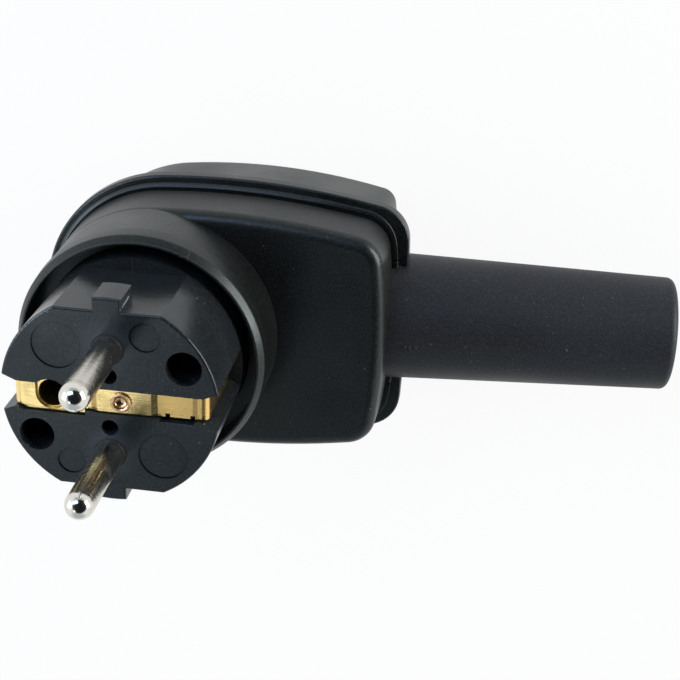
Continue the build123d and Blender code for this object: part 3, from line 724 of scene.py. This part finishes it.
def stud(name, place, normal, finish):
    """A small closed dome that stands on a surface, with its foot sunk in it."""
    side = normal.orthogonal().normalized()
    across = normal.cross(side)
    around = 24
    dome_rows = 6
    rows = [(1.0, -STUD_SUNK)]
    for k in range(dome_rows):
        angle = k / dome_rows * math.pi / 2
        rows.append((math.cos(angle), STUD_HEIGHT * math.sin(angle)))
    points = []
    for reach, rise in rows:
        for turn in range(around):
            angle = 2 * math.pi * turn / around
            out = STUD_RADIUS * reach * (math.cos(angle) * side + math.sin(angle) * across)
            points.append(place + out + rise * normal)
    faces = []
    for row in range(len(rows) - 1):
        for turn in range(around):
            after = (turn + 1) % around
            faces.append((row * around + turn, row * around + after,
                          (row + 1) * around + after, (row + 1) * around + turn))
    top = len(points)
    points.append(place + STUD_HEIGHT * normal)
    points.append(place - STUD_SUNK * normal)
    last = (len(rows) - 1) * around
    for turn in range(around):
        after = (turn + 1) % around
        faces.append((last + turn, last + after, top))
        faces.append((after, turn, top + 1))
    add_mesh_piece(name, points, faces, finish)


def rim_mark(finishes):
    """The short mould mark across the collar's bevel."""
    outward = Vector((math.cos(RIM_MARK_ANGLE), math.sin(RIM_MARK_ANGLE), 0.0))
    points = [outward * radius + Vector((0.0, 0.0, height)) for radius, height in RIM_MARK_ENDS]
    bead_along("rim_mark", points, MOULD_MARK_RADIUS, finishes["housing_rubber"])


def floor_finish():
    """White to the camera and in reflections, with the plug's shadow kept."""
    material = bpy.data.materials.new("floor_white")
    material.use_nodes = True
    floor = Shading(material.node_tree)
    floor.tree.nodes.remove(floor.tree.nodes["Principled BSDF"])
    paint = floor.node("ShaderNodeBsdfDiffuse", None, {"Color": rgb(*FLOOR_TONE)})
    white = floor.node("ShaderNodeEmission", None, {"Strength": 1.0})
    seen = floor.node("ShaderNodeLightPath", output="Is Camera Ray")
    for ray in ("Is Glossy Ray", "Is Transmission Ray"):
        seen = seen.math("MAXIMUM", seen, floor.node("ShaderNodeLightPath", output=ray))
    shares = {0: seen * (1.0 - FLOOR_SHADOW_SHARE), 1: paint, 2: white}
    floor.feed("Material Output", "Surface", floor.node("ShaderNodeMixShader", None, shares))
    return material


def lay_floor():
    """A wide plain floor under the plug's flat back."""
    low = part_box("rear_cover")[0].z
    half = FLOOR_SIZE / 2
    mesh = bpy.data.meshes.new("floor")
    corners = [(-half, -half, low), (half, -half, low), (half, half, low), (-half, half, low)]
    mesh.from_pydata(corners, [], [(0, 1, 2, 3)])
    mesh.materials.append(floor_finish())
    floor = bpy.data.objects.new("floor", mesh)
    bpy.context.scene.collection.objects.link(floor)


def soft_box(name, place, width, height, brightness, tint):
    """A rectangular lamp whose surface has a given brightness."""
    lamp = bpy.data.lights.new(name, "AREA")
    lamp.shape = "RECTANGLE"
    lamp.size = width
    lamp.size_y = height
    lamp.energy = brightness * math.pi * width * height
    lamp.color = tint
    holder = bpy.data.objects.new(name, lamp)
    holder.location = place
    holder.rotation_euler = (Vector(LAMPS_FACE) - Vector(place)).to_track_quat("-Z", "Y").to_euler()
    bpy.context.scene.collection.objects.link(holder)


def room_light():
    """Pale walls all round, a dark side over the plug, and plain white behind it to the camera."""
    world = bpy.data.worlds.new("room")
    world.use_nodes = True
    room = Shading(world.node_tree)
    way = room.node("ShaderNodeTexCoord", output="Generated")
    sideways = abs(room.node("ShaderNodeSeparateXYZ", None, {0: way}, output="X"))
    side_share = room.step(sideways, SIDE_WALLS_START, SIDE_WALLS_FULL)
    walls = room.mixed(side_share, rgb(*ROOM_END_WALLS), rgb(*ROOM_SIDE_WALLS))
    both_ways = {0: way, 1: DARK_SIDE_CENTRE}
    toward_dark = room.node("ShaderNodeVectorMath", {"operation": "DOT_PRODUCT"}, both_ways, output="Value")
    dark_share = room.step(toward_dark, DARK_SIDE_EDGE_COSINE, DARK_SIDE_CORE_COSINE)
    walls = room.mixed(dark_share, walls, rgb(*ROOM_DARK_SIDE))
    seen = room.node("ShaderNodeLightPath", output="Is Camera Ray")
    room.feed("Background", "Color", room.mixed(seen, walls, rgb(1.0, 1.0, 1.0)))
    return world


def light_studio():
    """The pale room with its dark side, windows left and right, and sky overhead and behind the camera."""
    bpy.context.scene.world = room_light()
    for lamp in LAMPS:
        soft_box(*lamp)


def set_camera():
    """The camera at the photograph's place and angle."""
    lens = bpy.data.cameras.new("photo_camera")
    lens.lens = LENS_MM
    lens.sensor_width = SENSOR_MM
    lens.clip_start = 0.01
    lens.clip_end = 20.0
    camera = bpy.data.objects.new("photo_camera", lens)
    bpy.context.scene.collection.objects.link(camera)
    turn = Matrix((CAMERA_RIGHT, CAMERA_UP, -CAMERA_LOOK)).transposed()
    camera.matrix_world = Matrix.Translation(CAMERA_PLACE) @ turn.to_4x4()
    bpy.context.scene.camera = camera


# The scene: the CAD part, its finishes, the pieces added to it, and the studio round it
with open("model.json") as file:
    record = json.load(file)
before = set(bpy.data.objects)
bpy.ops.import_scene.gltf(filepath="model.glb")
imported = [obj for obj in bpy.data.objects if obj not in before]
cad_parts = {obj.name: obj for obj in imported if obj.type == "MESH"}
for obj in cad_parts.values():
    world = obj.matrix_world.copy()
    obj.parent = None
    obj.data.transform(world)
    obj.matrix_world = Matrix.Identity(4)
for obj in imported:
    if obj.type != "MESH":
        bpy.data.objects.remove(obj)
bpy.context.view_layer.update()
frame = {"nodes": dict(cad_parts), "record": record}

finishes = {
    "housing_rubber": housing_rubber(),
    "boot_rubber": boot_rubber(),
    "carrier_plastic": carrier_plastic(),
    "pin_nickel": pin_nickel(),
    "earth_brass": earth_brass(),
    "rivet_copper": rivet_copper(),
    "screw_steel": screw_steel(),
}
dress_nodes(frame, finishes)
screw_threads(finishes)
shoulder_mould_line(finishes)
collar_rim(finishes)
step_slope(frame, finishes)
pocket_sill(finishes)
rivet_cup(finishes)
rib_pale_line(frame)
boot_studs(frame, finishes)
rim_mark(finishes)

lay_floor()
light_studio()
set_camera()
bpy.context.scene.view_settings.view_transform = "Standard"
